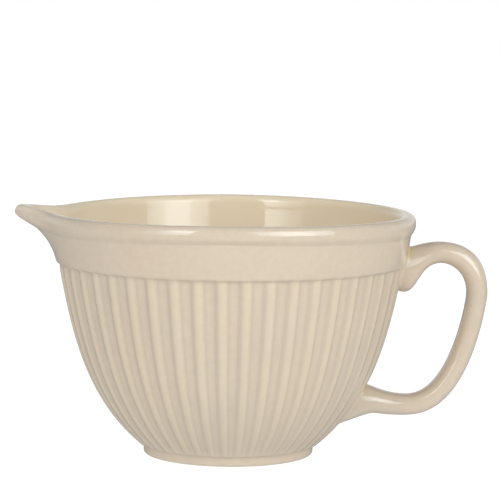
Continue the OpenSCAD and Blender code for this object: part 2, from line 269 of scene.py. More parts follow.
def lip_share(from_tip, z):
    """How much of the lip's reach is left at an angle from its tip: 1 / cosh(angle / half), where
    half goes from 11 degrees at the band's lower edge to 5.2 at the roll. It ends at 45 degrees."""
    up = np.clip((z - BAND_H) / (WIDEST_H - BAND_H), 0, 1)
    half = LIP_HALF_LOW - (LIP_HALF_LOW - LIP_HALF_TOP) * up
    end = 1 / np.cosh(LIP_END / half)
    share = (1 / np.cosh(np.clip(np.abs(from_tip), 0, LIP_END) / half) - end) / (1 - end)
    return np.maximum(share, 0)


print("lip's share 5 degrees from its tip", round(float(lip_share(np.radians(5), WIDEST_H)), 3))

# %% The drawn and sagged rim
SAG_TILT, SAG_ENDS, SAG_POWER = 0.0003, 0.0013, 1.5
JUNCTION_FRONT, JUNCTION_ENDS, JUNCTION_FROM_H = 0.0019, 0.0031, 0.1120


def sag(bearing, z, lip):
    """How the soft rim has settled: it sags towards lip and handle by 1.3 mm |cos|^1.5, and the
    roll's lower edge, 1.9 mm higher at the front, by 3.1 mm |cos|^1.5."""
    side_share = np.abs(np.cos(bearing)) ** SAG_POWER * (1 - lip)
    rim = SAG_TILT * np.sin(bearing) - SAG_ENDS * side_share
    junction = JUNCTION_FRONT * (1 - lip) - JUNCTION_ENDS * side_share
    to_junction = np.interp(z, [JUNCTION_FROM_H, ROLL_END_H, WIDEST_H], [0, 1, 0])
    to_rim = np.interp(z, [ROLL_END_H, WIDEST_H], [0, 1])
    return to_junction * junction + to_rim * rim


def levelled(t):
    """t below 1 and 1 above it, with a soft bend: (t + 1 - sqrt((t - 1)^2 + 0.002)) / 2."""
    return (t + 1 - np.sqrt((t - 1) ** 2 + NOSE_SOFTNESS)) / 2


def drawn_out(radius, z, side, bearing):
    """Moves rim points outwards by 18.4 mm and upwards by 1.8 mm, each times the lip's share and
    times the height over the band's lower edge to the power 2.45. Outside, the height's share
    levels off softly round the edge and reaches 1 at the rim's top. Then the rim sags. Returns
    the moved radius and height, and the pull."""
    lip = lip_share(np.abs(np.mod(bearing, 2 * np.pi) - np.pi), z)
    to_widest = WIDEST_H - BAND_H
    outer = levelled(np.maximum(z - BAND_H, 0) / to_widest) / levelled((RIM_H - BAND_H) / to_widest)
    inner = (z - BAND_H) / (RIM_H - BAND_H)
    pull = np.clip(np.where(side > 0.5, outer, inner), 0, 1) ** LIP_POWER * lip
    return radius + LIP_REACH * pull, z + LIP_RISE * pull + sag(bearing, z, lip), pull


print("lip's reach", LIP_REACH, "and rise", LIP_RISE)

# %% [markdown]
# ## Meshes from arrays
#
# A surface of this kind is a grid of points, rows by columns, whose columns close into a ring.
# Where a ring shrinks to a point, as in the middle of the floor, one pole vertex closes it with a
# fan of triangles. The arrays go into the mesh whole, with no loop over the vertices. Values that
# the glaze needs later ride along as attributes of the points.

# %% Grid to mesh
def ring_mesh(name, grid, poles, values):
    """Makes an object from a (rows, columns, 3) grid that closes along its columns. With poles,
    the first and the last row's middles close it; otherwise the last row joins the first."""
    rows, cols = grid.shape[:2]
    last = rows - 1 if poles is not None else rows
    i, j = np.meshgrid(np.arange(last), np.arange(cols), indexing="ij")
    nxt, up = (j + 1) % cols, (i + 1) % rows
    quads = np.stack([i * cols + j, i * cols + nxt, up * cols + nxt, up * cols + j], -1).reshape(-1, 4)
    points = grid.reshape(-1, 3)
    fans = []
    if poles is not None:
        points = np.concatenate([points, poles])
        c = np.arange(cols)
        first, top = np.full(cols, rows * cols), (rows - 1) * cols
        fans = np.stack([first, (c + 1) % cols, c], 1).tolist()
        fans += np.stack([first + 1, top + c, top + (c + 1) % cols], 1).tolist()
    mesh = bpy.data.meshes.new(name)
    mesh.from_pydata(points.tolist(), [], quads.tolist() + fans)
    mesh.polygons.foreach_set("use_smooth", np.ones(len(mesh.polygons), dtype=bool))
    for key, value in values.items():
        flat = np.broadcast_to(value, grid.shape[:2]).reshape(-1)
        if poles is not None:
            flat = np.append(flat, [value[0].mean(), value[-1].mean()])
        mesh.attributes.new(key, "FLOAT", "POINT").data.foreach_set("value", flat.astype(np.float32))
    mesh.update()
    piece = bpy.data.objects.new(name, mesh)
    bpy.context.scene.collection.objects.link(piece)
    print(name, "triangles:", 2 * len(quads) + len(fans))
    return piece


def place(radius, bearing, z):
    """Points at a radius and a bearing round the bowl's axis."""
    x, y = AXIS_X + radius * np.cos(bearing), radius * np.sin(bearing)
    return np.stack(np.broadcast_arrays(x, y, z), -1)


print("a point on the rim, towards the handle:", place(RIM_R, 0.0, WIDEST_H).round(4).tolist())

# %% [markdown]
# ## The body
#
# The body is one closed surface: the outline turned round the axis, with the reeding taken off
# its wall and the lip drawn out of its rim. It could be carved out of a turned solid, but one
# grid keeps the faces even and the reeds crisp. Six masks ride along for the glaze and its
# painted light and shade: the reeded wall, its low part, the inside, the dry foot, the outside
# that turns away at the silhouette, where shade is painted, and the lip's edge.

# %% The body's surface
SHIFT_TO_H = 0.040
REEDS_FROM, LOW_REEDS_H, LOW_REEDS_FADE = 0.005, 0.012, 0.045
DRY_H, DRY_FADE, SIDE_H, SIDE_FADE, BEAD_H, BEAD_FADE = 0.0008, 0.0006, 0.136, 0.006, 0.1355, 0.003

periods = (np.arange(REEDS)[:, None] + REED_COLUMNS - REED_CREST).ravel()
bearings = periods * 2 * np.pi / REEDS + REED_TURN
turned_r, level, reeding, outside = (profile[1:-1, k:k + 1] for k in range(4))
drawn_r, drawn_z, pull = drawn_out(reeded(turned_r, level, reeding, bearings), level, outside, bearings)
body_grid = place(drawn_r, bearings, drawn_z)
body_grid[..., 0] += RING_SHIFT * (1 - smoothstep(level / SHIFT_TO_H))
on_reeds = reeding * smoothstep((level - RING_H) / REEDS_FROM)
body = ring_mesh(
    "body", body_grid, np.array([[AXIS_X, 0, profile[0, 1]], [AXIS_X, 0, profile[-1, 1]]]),
    {"reeded": on_reeds,
     "low_reeds": on_reeds * (1 - smoothstep((level - LOW_REEDS_H) / LOW_REEDS_FADE)),
     "inside": 1 - outside,
     "dry_foot": smoothstep((DRY_H - level) / DRY_FADE) * (outside > 0.5),
     "edge": outside * smoothstep((SIDE_H - level) / SIDE_FADE),
     "lip_edge": np.sqrt(np.maximum(pull, 0)) * smoothstep((level - BEAD_H) / BEAD_FADE)},
)
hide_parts("bowl")
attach(body, "root")

# %% [markdown]
# ## The handle
#
# The handle is a loop of soft oval section. Its outer and inner edges are two smooth curves in
# the upright plane through the lip, each made of four cubic stretches: out of the wall to the
# top, over the shoulder, down the grip, and back into the wall. The sections stand between them.
# A round tube along one curve would be simpler, but the strap is flatter than a tube, and its
# thickness changes along the loop.

# %% The handle's two edges
HANDLE_OUT, TOP_DROP, ELBOW_DROP, LOW_H = 0.0414, 0.0170, 0.0455, 0.0226
STRAP_T, STRAP_W, ROOT_W, SINK = 0.0119, 0.0190, 0.0250, 0.0040
UPPER_ROOT_H, UPPER_TAIL_H, LOWER_ROOT_H, LOWER_TAIL_H = 0.1188, 0.0933, 0.0402, 0.0173
TOP_SHARE, OUTER_SLOPES, INNER_SLOPES = 0.39, (0.2, 0.37), (-0.75, -0.29)
STATIONS = (48, 40, 60, 40)
OUTER_SHARES = ((0.4, 0.39), (0.27, 0.62), (0.034, 0.436), (0.68, 0.8))
INNER_SHARES = ((0.66, 0.5), (0.26, 0.51), (0.124, 0.335), (0.45, 0.37))

REACH, TOP_H, ELBOW_H = RIM_R + HANDLE_OUT, RIM_H - TOP_DROP, RIM_H - ELBOW_DROP
TOP_X, LOW_X = BAND_TOP_R + TOP_SHARE * (REACH - BAND_TOP_R), BAND_TOP_R


def cubic(p, u, q, v, shares, count):
    """Cubic curve from p to q that leaves along u and arrives along v. Its inner control points
    lie at the given shares of the distance from p and from q."""
    p, u, q, v = (np.asarray(a, float) for a in (p, u, q, v))
    d = np.linalg.norm(q - p)
    a, b = p + u / np.linalg.norm(u) * d * shares[0], q - v / np.linalg.norm(v) * d * shares[1]
    t = np.linspace(0, 1, count)[:, None]
    return (1 - t) ** 3 * p + 3 * (1 - t) ** 2 * t * a + 3 * (1 - t) * t * t * b + t ** 3 * q


def edge_curve(start, end, slopes, inset, shares):
    """Joins the four stretches and drops each shared point once. The edge runs inset under the
    handle's outer reach, and both its ends are sunk into the wall along their slopes."""
    start_slope, end_slope = slopes
    top, elbow, low = (TOP_X, TOP_H - inset), (REACH - inset, ELBOW_H), (LOW_X, LOW_H + inset)
    sunk_start = np.array(start) - SINK * np.array([1, start_slope])
    sunk_end = np.array(end) - SINK * np.array([1, end_slope])
    return np.concatenate([
        cubic(sunk_start, (1, start_slope), top, (1, 0), shares[0], STATIONS[0])[:-1],
        cubic(top, (1, 0), elbow, (0, -1), shares[1], STATIONS[1])[:-1],
        cubic(elbow, (0, -1), low, (-1, 0), shares[2], STATIONS[2])[:-1],
        cubic(low, (-1, 0), sunk_end, (-1, -end_slope), shares[3], STATIONS[3]),
    ])


outer_edge = edge_curve((BAND_TOP_R, UPPER_ROOT_H), (reeds_radius(LOWER_TAIL_H), LOWER_TAIL_H),
                        OUTER_SLOPES, 0.0, OUTER_SHARES)
inner_edge = edge_curve((reeds_radius(UPPER_TAIL_H), UPPER_TAIL_H),
                        (reeds_radius(LOWER_ROOT_H), LOWER_ROOT_H),
                        INNER_SLOPES, STRAP_T, INNER_SHARES)
print("stations along the handle:", len(outer_edge))

# %% The handle's sections
OVAL_POWER, ROUND_STATION, EDGE_SPREAD = 2.3, 64, 3.0


def softened(values, spread):
    """Running mean over the stations with a bell-shaped weight, the ends held."""
    reach = int(3 * spread)
    weight = np.exp(-0.5 * (np.arange(-reach, reach + 1) / spread) ** 2)
    before, after = 2 * values[0] - values[reach:0:-1], 2 * values[-1] - values[-2:-reach - 2:-1]
    padded = np.concatenate([before, values, after])
    return np.stack([np.convolve(column, weight / weight.sum(), "valid") for column in padded.T], 1)


def oval(count):
    """Points round a superellipse: cos and sin of the angle, each to the power 2 / 2.3."""
    a = 2 * np.pi * np.arange(count) / count
    return [np.sign(part) * np.abs(part) ** (2 / OVAL_POWER) for part in (np.cos(a), np.sin(a))]


def strap_grid(outer, inner, width):
    """Section points (stations, round, 3): the middle between the edges, plus across times u times
    half the thickness, plus sideways w times half the width, where u and w go round an oval."""
    u, w = oval(ROUND_STATION)
    half_t = np.linalg.norm(outer - inner, axis=1)[:, None, None] / 2
    across = (outer - inner)[:, None, :] / (2 * half_t)
    plane = (outer + inner)[:, None, :] / 2 + across * u[None, :, None] * half_t
    return np.stack([AXIS_X + plane[..., 0], w[None, :] * width[:, None] / 2, plane[..., 1]], -1)


outer_edge, inner_edge = softened(outer_edge, EDGE_SPREAD), softened(inner_edge, EDGE_SPREAD)
station = np.arange(len(outer_edge))
grip = STATIONS[0] - 1, sum(STATIONS[:3]) - 3
narrow = smoothstep(np.interp(station, [0, *grip, station[-1]], [0, 1, 1, 0]))
handle_grid = strap_grid(outer_edge, inner_edge, ROOT_W + (STRAP_W - ROOT_W) * narrow)
print("handle's grid:", handle_grid.shape)

# %% Distance from the bowl's outside
UPPER_POOL_H, LOWER_POOL_H, POOL_FADE, POOL_REACH, ROOTS_APART_H = 0.1115, 0.0345, 0.004, 0.0025, 0.07
STEP_H = 0.001

outside_rows = profile[(profile[:, 3] > 0.5) & (profile[:, 1] > STEP_H)]
outside_rows = outside_rows[np.argsort(outside_rows[:, 1], kind="stable")]


def wall_radius(bearing, z):
    """Radius of the bowl's outside at a bearing and a height, reeds and band included."""
    radius, _, weight, _ = (np.interp(z, outside_rows[:, 1], column) for column in outside_rows.T)
    return reeded(radius, z, weight, bearing)


def wall_slope(z):
    """How fast the plain wall's radius grows with height: a difference over 2 mm."""
    return (reeds_radius(z + STEP_H) - reeds_radius(z - STEP_H)) / (2 * STEP_H)


def off_wall(points):
    """Distance of points from the bowl's outside: the level distance times the cosine of the
    wall's lean there."""
    x, y, h = points[..., 0] - AXIS_X, points[..., 1], points[..., 2]
    level_distance = np.hypot(x, y) - wall_radius(np.arctan2(y, x), h)
    return level_distance / np.sqrt(1 + wall_slope(np.clip(h, FOOT_H, BAND_H)) ** 2)


def pool_share(points, off):
    """How much glaze has pooled: exp(-distance / 2.5 mm) along the top of each root only."""
    h = points[..., 2]
    start = np.where(h > ROOTS_APART_H, UPPER_POOL_H, LOWER_POOL_H)
    return np.exp(-np.maximum(off, 0) / POOL_REACH) * smoothstep((h - start) / POOL_FADE)


print("the handle's furthest place off the wall:", round(float(off_wall(handle_grid).max()), 4))

# %% The handle's surface
handle = ring_mesh(
    "loop_handle", handle_grid[::-1], np.array([handle_grid[-1].mean(0), handle_grid[0].mean(0)]),
    {"pool": pool_share(handle_grid, off_wall(handle_grid))[::-1]},
)
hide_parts("handle")
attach(handle, "root")

# %% [markdown]
# ## The joints
#
# Liquid clay holds each root of the handle on the wall, and a wet brush turns the squeezed-out
# clay into a small hollow fillet all round. A bevel can't follow the place where two pieces meet,
# so here a fillet is a closed ring of its own: its face curves from the handle, 1 to 2 mm off the
# wall, to the wall, as far off the handle, and its back lies in the clay.

# %% Where each line along the strap leaves the wall
def crossing(lines, distance, target):
    """First place along each line, counted from its sunken end, where distance passes target."""
    past = np.argmax(distance >= target, axis=0)
    cols = np.arange(lines.shape[1])
    before = np.maximum(past - 1, 0)
    span = np.maximum(distance[past, cols] - distance[before, cols], 1e-9)
    t = np.clip((target - distance[before, cols]) / span, 0, 1)[:, None]
    return lines[before, cols] * (1 - t) + lines[past, cols] * t


def unit(vectors):
    """Each vector over its own length."""
    return vectors / np.linalg.norm(vectors, axis=-1, keepdims=True)


def wall_normal(points):
    """Outward normal of the plain wall: the radial direction tipped down by the wall's lean."""
    x, y = points[..., 0] - AXIS_X, points[..., 1]
    slope = wall_slope(np.clip(points[..., 2], FOOT_H + STEP_H, BAND_H - STEP_H))
    flat = np.hypot(x, y)
    return unit(np.stack([x / flat, y / flat, -slope], -1))


ROOT_ROWS = 60
upper_lines, lower_lines = handle_grid[:ROOT_ROWS], handle_grid[::-1][:ROOT_ROWS]
for label, lines in (("upper", upper_lines), ("lower", lower_lines)):
    heights = crossing(lines, off_wall(lines), 0.0)[:, 2]
    print(label, "root leaves the wall at heights", heights.min().round(4), "to", heights.max().round(4))

# %% The two fillets
FACE_POINTS, UPPER_FILLET, LOWER_FILLET = 12, 0.0020, 0.0013
UNDER_GLAZE, TUCK, BACK_FOOT, BACK_DEEP, BACK_SIDE = 0.00012, 0.00005, 0.0010, 0.0012, 0.0010


def fillet_ring(lines, reach):
    """Grid (points across, columns round the root, 3) of a closed fillet: a parabola from the
    handle over the crossing to the wall, and back under the surface."""
    distance = off_wall(lines)
    on_wall = crossing(lines, distance, 0.0)
    on_strap = crossing(lines, distance, reach)
    heart = lines.mean(axis=1)
    inward = unit(heart[np.argmax(distance >= reach, axis=0)] - on_strap)
    n = wall_normal(on_wall)
    away = unit(-inward - n * np.sum(-inward * n, axis=1, keepdims=True))
    foot = on_wall + away * reach
    bearing = np.arctan2(foot[:, 1], foot[:, 0] - AXIS_X)
    foot = place(wall_radius(bearing, foot[:, 2]) - UNDER_GLAZE, bearing, foot[:, 2])
    start = on_strap + inward * TUCK
    v = np.linspace(0, 1, FACE_POINTS)[:, None, None]
    face = (1 - v) ** 2 * start + 2 * v * (1 - v) * on_wall + v * v * foot
    back = [foot - n * BACK_FOOT, on_wall - n * BACK_DEEP + inward * BACK_SIDE, start + inward * BACK_DEEP]
    return np.concatenate([face, np.stack(back)])


def closed_right_way_out(grid):
    """Turns a grid that closes both ways so that its volume, one sixth of the sum of p . (q x r)
    over its triangles, is positive."""
    a, b = grid, np.roll(grid, -1, axis=1)
    c = np.roll(b, -1, axis=0)
    volume = np.sum(a * np.cross(b, c)) + np.sum(a * np.cross(c, np.roll(a, -1, axis=0)))
    return grid if volume > 0 else grid[::-1]


for name, lines, cad_node, reach in (
        ("upper_slip_fillet", upper_lines, "upper_handle_joint", UPPER_FILLET),
        ("lower_slip_fillet", lower_lines, "lower_handle_joint", LOWER_FILLET)):
    ring = closed_right_way_out(fillet_ring(lines, reach))
    fillet = ring_mesh(name, ring, None, {"pool": pool_share(ring, 0.0)})
    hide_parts(cad_node)
    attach(fillet, "root")

# %% [markdown]
# ## The glaze
#
# The glaze is a glossy cream over pale clay. Fired glaze is never quite even: it turns pinker or
# greyer in wide patches, runs thin and pale over the reeds, and pools yellow in the corners. Some
# tints below also paint light and shade into the colour: inside, on the reeds and at the
# silhouette. A painted picture would show its seams on a surface like this, so noise in the
# object's own space does the work. One node group makes the patches and the slow waviness that
# bends the reflections. Every glazed piece uses it with its own colours.

# %% Node helpers
def node(tree, kind, at=(0, 0), **settings):
    """Adds a node and sets its properties or its inputs by name."""
    made = tree.nodes.new(kind)
    made.location = at
    for key, value in settings.items():
        if hasattr(made, key):
            setattr(made, key, value)
        else:
            made.inputs[key].default_value = value
    return made


def feed(tree, values, entries):
    """Gives each input its value: a link where the value is another node's output."""
    for value, entry in zip(values, entries):
        if isinstance(value, bpy.types.NodeSocket):
            tree.links.new(value, entry)
        else:
            entry.default_value = value


def maths(tree, operation, values, at):
    """A Math node on the given values. Returns its output."""
    made = node(tree, "ShaderNodeMath", at, operation=operation)
    feed(tree, values, made.inputs)
    return made.outputs["Value"]


def ranged(tree, value, limits, at, interpolation="LINEAR"):
    """Moves a value from the range of the first two limits to that of the last two."""
    made = node(tree, "ShaderNodeMapRange", at, interpolation_type=interpolation)
    feed(tree, (value, *limits), made.inputs)
    return made.outputs["Result"]


def mixed(tree, share, first, second, at, kind="RGBA"):
    """Mixes two colours or, with kind FLOAT, two numbers. Returns the mix."""
    made = node(tree, "ShaderNodeMix", at, data_type=kind)
    suffix = {"RGBA": "Color", "FLOAT": "Float"}[kind]
    by_name = {entry.identifier: entry for entry in (*made.inputs, *made.outputs)}
    places = [by_name[f"{letter}_{suffix}"] for letter in ("A", "B")]
    feed(tree, (share, first, second), (by_name["Factor_Float"], *places))
    return by_name[f"Result_{suffix}"]


def noise(tree, vector, at, **settings):
    """A Noise Texture at a vector. Returns its grey output."""
    made = node(tree, "ShaderNodeTexNoise", at, **settings)
    tree.links.new(vector, made.inputs["Vector"])
    return made.outputs["Fac"]


print("node helpers:", [helper.__name__ for helper in (node, feed, maths, ranged, mixed, noise)])

# %% The shared glaze group
PATCH_LIMITS, COOL_SHIFT = (0.42, 0.68, 0.0, 1.0), (0.31, 0.17, 0.23)
MOTTLE_SCALE, MOTTLE_LIMITS = 260.0, (0.3, 0.7, 0.972, 1.028)
WAVE_SCALE, PEEL_SCALE, PEEL_SHARE = 38.0, 420.0, 0.06
GLOSS_LIMITS = (0.3, 0.7, 0.035, 0.06)


def glaze_sockets(tree):
    """The group's inputs, which every material sets, and its outputs."""
    for way, kind, labels in (("INPUT", "NodeSocketColor", ("Glaze", "Warm", "Cool")),
                              ("INPUT", "NodeSocketFloat", ("Patches", "Amount")),
                              ("OUTPUT", "NodeSocketColor", ("Color",)),
                              ("OUTPUT", "NodeSocketFloat", ("Roughness", "Height"))):
        for label in labels:
            tree.interface.new_socket(label, in_out=way, socket_type=kind)


def make_glaze_group():
    """Colour = mix of the glaze's colour with a warm and a cool one, by two slow noises, times a
    fine mottling. Height = slow waves plus a fine orange peel. Roughness follows the cool noise."""
    tree = bpy.data.node_groups.new("fired_glaze", "ShaderNodeTree")
    glaze_sockets(tree)
    enter = node(tree, "NodeGroupInput", (-900, 0)).outputs
    leave = node(tree, "NodeGroupOutput", (700, 0)).inputs
    where = node(tree, "ShaderNodeTexCoord", (-900, -300)).outputs["Object"]
    shifted = node(tree, "ShaderNodeMapping", (-760, -120), Location=COOL_SHIFT)
    tree.links.new(where, shifted.inputs["Vector"])
    warm_noise = noise(tree, where, (-600, 200), Detail=3.0, Roughness=0.55)
    cool_noise = noise(tree, shifted.outputs["Vector"], (-600, -50), Detail=2.0, Roughness=0.5)
    colour = enter["Glaze"]
    for k, (grey, other) in enumerate(((warm_noise, "Warm"), (cool_noise, "Cool"))):
        tree.links.new(enter["Patches"], grey.node.inputs["Scale"])
        mask = ranged(tree, grey, PATCH_LIMITS, (-400, 200 - 250 * k), "SMOOTHSTEP")
        amount = maths(tree, "MULTIPLY", (mask, enter["Amount"]), (-220, 200 - 250 * k))
        colour = mixed(tree, amount, colour, enter[other], (200 * k, 200))
    speck = noise(tree, where, (0, 450), Scale=MOTTLE_SCALE, Detail=3.0, Roughness=0.6)
    mottled = node(tree, "ShaderNodeVectorMath", (420, 250), operation="SCALE")
    tree.links.new(colour, mottled.inputs[0])
    tree.links.new(ranged(tree, speck, MOTTLE_LIMITS, (200, 450)), mottled.inputs["Scale"])
    waves = noise(tree, where, (-600, -300), Scale=WAVE_SCALE, Detail=1.5)
    peel = noise(tree, where, (-600, -520), Scale=PEEL_SCALE, Detail=2.0)
    fine = maths(tree, "MULTIPLY", (peel, PEEL_SHARE), (-380, -520))
    tree.links.new(mottled.outputs[0], leave["Color"])
    tree.links.new(maths(tree, "ADD", (waves, fine), (-200, -380)), leave["Height"])
    tree.links.new(ranged(tree, cool_noise, GLOSS_LIMITS, (-200, -200)), leave["Roughness"])
    return tree


glaze_group = make_glaze_group()
print("group", glaze_group.name, "with", len(glaze_group.nodes), "nodes")

# %% A glazed material
CREAM, PINKISH, GREYISH = (0.63, 0.537, 0.423), (0.62, 0.505, 0.40), (0.57, 0.505, 0.415)
BUMP_STRENGTH, BUMP_DEPTH, GLASS_IOR = 0.35, 0.0006, 1.5


def glaze_material(name, patches, amount):
    """Principled shader fed by the glaze group, in cream with pink and grey patches. Returns the
    material, its tree and the shader. Later cells tint what feeds its Base Color."""
    material = bpy.data.materials.new(name)
    material.use_nodes = True
    tree = material.node_tree
    shader = tree.nodes["Principled BSDF"]
    group = node(tree, "ShaderNodeGroup", (-700, 0), node_tree=glaze_group)
    for label, value in (("Glaze", CREAM), ("Warm", PINKISH), ("Cool", GREYISH)):
        group.inputs[label].default_value = (*value, 1)
    group.inputs["Patches"].default_value = patches
    group.inputs["Amount"].default_value = amount
    bump = node(tree, "ShaderNodeBump", (-300, -300), Strength=BUMP_STRENGTH, Distance=BUMP_DEPTH)
    tree.links.new(group.outputs["Height"], bump.inputs["Height"])
    tree.links.new(bump.outputs["Normal"], shader.inputs["Normal"])
    tree.links.new(group.outputs["Color"], shader.inputs["Base Color"])
    tree.links.new(group.outputs["Roughness"], shader.inputs["Roughness"])
    shader.inputs["IOR"].default_value = GLASS_IOR
    return material, tree, shader


def attribute(tree, name, at):
    """The output of an Attribute node that reads a mask from the mesh."""
    return node(tree, "ShaderNodeAttribute", at, attribute_name=name).outputs["Fac"]


body_glaze, body_tree, body_shader = glaze_material("body_glaze", patches=22.0, amount=0.35)
print("material", body_glaze.name, "with", len(body_tree.nodes), "nodes")

# %% Tints over a glaze
# Painted shade: the glaze is darkened towards a brown grey where it turns away from the camera.
SILHOUETTE_SHADE_BROWN, FACING_POWER, SILHOUETTE_SHADE_STRENGTH = (0.36, 0.30, 0.24), 4.0, 0.5


def tint_by(tree, shader, mask, colour, strength, at):
    """Mixes colour over what feeds Base Color, by a mask times a strength."""
    under = shader.inputs["Base Color"].links[0].from_socket
    amount = maths(tree, "MULTIPLY", (mask, strength), (at[0] - 180, at[1]))
    tree.links.new(mixed(tree, amount, under, (*colour, 1), at), shader.inputs["Base Color"])


def painted_silhouette_shade(tree, shader, mask=1.0):
    """Painted shade where the surface turns away from the camera: mixes towards a brown grey by half of
    the fourth power of Facing, which is 1 on the silhouette, times a mask."""
    facing = node(tree, "ShaderNodeLayerWeight", (-900, -600), Blend=0.5).outputs["Facing"]
    fourth = maths(tree, "POWER", (facing, FACING_POWER), (-720, -600))
    masked = maths(tree, "MULTIPLY", (fourth, mask), (-540, -600))
    tint_by(tree, shader, masked, SILHOUETTE_SHADE_BROWN, SILHOUETTE_SHADE_STRENGTH, (300, 300))


print("edge colour", SILHOUETTE_SHADE_BROWN)

# %% [markdown]
# ## Thin and thick glaze, and painted light and shade, on the reeds
#
# Molten glaze runs off a rib's crest and gathers in the corners at its foot, so after the firing
# each reed has a pale line on its crest and a darker one beside it. Here the pale lines also hold
# painted light on the right of each rib, the side that faces the right softbox, and the dark ones
# painted shade in the corners at its foot. The lines could be painted on as vertex colours, but
# the mesh has only a dozen columns to a reed. A second group works out the bearing of each shaded
# point and folds it into one period, which is as sharp as the picture.

# %% Masks over one reed
# Crest and Line lighten the right of each rib: thin glaze with painted light. Foot darkens the corners
# beside it: thick glaze with painted shade.
REED_STOPS = {
    "Crest": ((0.0, 0.0), (0.5, 0.0), (0.66, 0.75), (0.77, 1.0), (0.88, 0.1), (0.92, 0.0)),
    "Foot": ((0.0, 0.35), (0.12, 0.0), (0.26, 0.2), (0.36, 1.0), (0.46, 0.75), (0.56, 0.0), (0.88, 0.0),
             (0.94, 0.9), (1.0, 0.35)),
    "Line": ((0.0, 0.0), (0.72, 0.0), (0.79, 1.0), (0.84, 1.0), (0.91, 0.0)),
}


def ramp_of(tree, value, stops, at):
    """A colour ramp in greys through the given stops, eased between them."""
    ramp = node(tree, "ShaderNodeValToRGB", at)
    ramp.color_ramp.interpolation = "EASE"
    while len(ramp.color_ramp.elements) < len(stops):
        ramp.color_ramp.elements.new(0.5)
    for element, (position, grey) in zip(ramp.color_ramp.elements, stops):
        element.position = position
        element.color = (grey, grey, grey, 1)
    tree.links.new(value, ramp.inputs["Fac"])
    return ramp.outputs["Color"]


def make_reed_group():
    """Three masks from a place in plan. Share of the period = bearing x reeds / full turn. The
    crest mask peaks on the right of a rib, where the glaze runs thin and light is painted; the foot
    mask peaks in the two corners beside it, where the glaze stays thick and shade is painted; the
    line mask is a narrow crest line of thin glaze and painted highlight, just right of the middle."""
    tree = bpy.data.node_groups.new("reed_lines", "ShaderNodeTree")
    for label in REED_STOPS:
        tree.interface.new_socket(label, in_out="OUTPUT", socket_type="NodeSocketFloat")
    leave = node(tree, "NodeGroupOutput", (900, 0)).inputs
    where = node(tree, "ShaderNodeTexCoord", (-900, 0)).outputs["Object"]
    parts = node(tree, "ShaderNodeSeparateXYZ", (-700, 0))
    tree.links.new(where, parts.inputs["Vector"])
    from_axis = maths(tree, "SUBTRACT", (parts.outputs["X"], AXIS_X), (-520, 100))
    bearing = maths(tree, "ARCTAN2", (parts.outputs["Y"], from_axis), (-340, 0))
    per_turn = REEDS / (2 * np.pi)
    first = REED_CREST - REED_TURN * per_turn + REEDS
    periods_round = maths(tree, "MULTIPLY_ADD", (bearing, per_turn, first), (-160, 0))
    share = maths(tree, "FRACT", (periods_round,), (20, 0))
    for k, (label, stops) in enumerate(REED_STOPS.items()):
        tree.links.new(ramp_of(tree, share, stops, (240, 200 - 300 * k)), leave[label])
    return tree


reed_group = make_reed_group()
print("group", reed_group.name, "outputs:", [s.name for s in reed_group.interface.items_tree])

# %% [markdown]
# ## The body's colours
#
# The masks of the mesh say where each tint goes: honey inside, where the glaze lies thick, painted
# lighter than the outside to stand in for the light that falls in; the three reed lines on the
# wall, thin and thick glaze with painted light and shade; painted shade on the reeds low down; a
# pale bead along the lip's edge; painted shade at the silhouette; and dry brown clay under the
# foot, which is wiped clean so that it can't stick to the kiln's shelf. A painted picture would
# have to be fitted to every reed, and masks follow the shape by themselves. The clay goes on last
# because no glaze covers it, and it alone is rough.

# %% The body's glaze
INSIDE_HONEY_LIGHTENED, LOW_REEDS_SHADE = (0.81, 0.70, 0.52), (0.55, 0.475, 0.375)
THICK_GLAZE_AND_SHADE, THIN_GLAZE_AND_LIGHT, CREST_LINE_AND_HIGHLIGHT = (0.46, 0.385, 0.30), (0.78, 0.67, 0.485), (0.80, 0.70, 0.52)
LIP_BEAD, DRY_CLAY = (0.80, 0.71, 0.57), (0.60, 0.47, 0.33)
HONEY_STRENGTH, REED_STRENGTH, LOW_SHADE_STRENGTH, BEAD_STRENGTH, DRY_ROUGHNESS = 0.9, 0.32, 0.45, 0.6, 0.8

tree, shader = body_tree, body_shader
# Painted light: the honey tint inside is much lighter than the outside's cream, standing in for the light
# that falls into the bowl.
tint_by(tree, shader, attribute(tree, "inside", (-900, 500)), INSIDE_HONEY_LIGHTENED, HONEY_STRENGTH, (-100, 200))
# Thick glaze with painted shade in the corners beside each rib, thin glaze with painted light on its right,
# and a painted highlight line low down.
lines = node(tree, "ShaderNodeGroup", (-1100, 700), node_tree=reed_group)
for label, where, colour, x in (("Foot", "reeded", THICK_GLAZE_AND_SHADE, 20), ("Crest", "reeded", THIN_GLAZE_AND_LIGHT, 120),
                                ("Line", "low_reeds", CREST_LINE_AND_HIGHLIGHT, 220)):
    mask = attribute(tree, where, (-1100, 500 - x))
    on_wall = maths(tree, "MULTIPLY", (lines.outputs[label], mask), (-900, 700 - x))
    tint_by(tree, shader, on_wall, colour, REED_STRENGTH, (x, 200))
# Painted shade: the reeds low down, which turn towards the floor, are darkened towards a grey brown.
tint_by(tree, shader, attribute(tree, "low_reeds", (-900, 1100)), LOW_REEDS_SHADE, LOW_SHADE_STRENGTH, (280, 200))
tint_by(tree, shader, attribute(tree, "lip_edge", (-900, 1250)), LIP_BEAD, BEAD_STRENGTH, (290, 200))
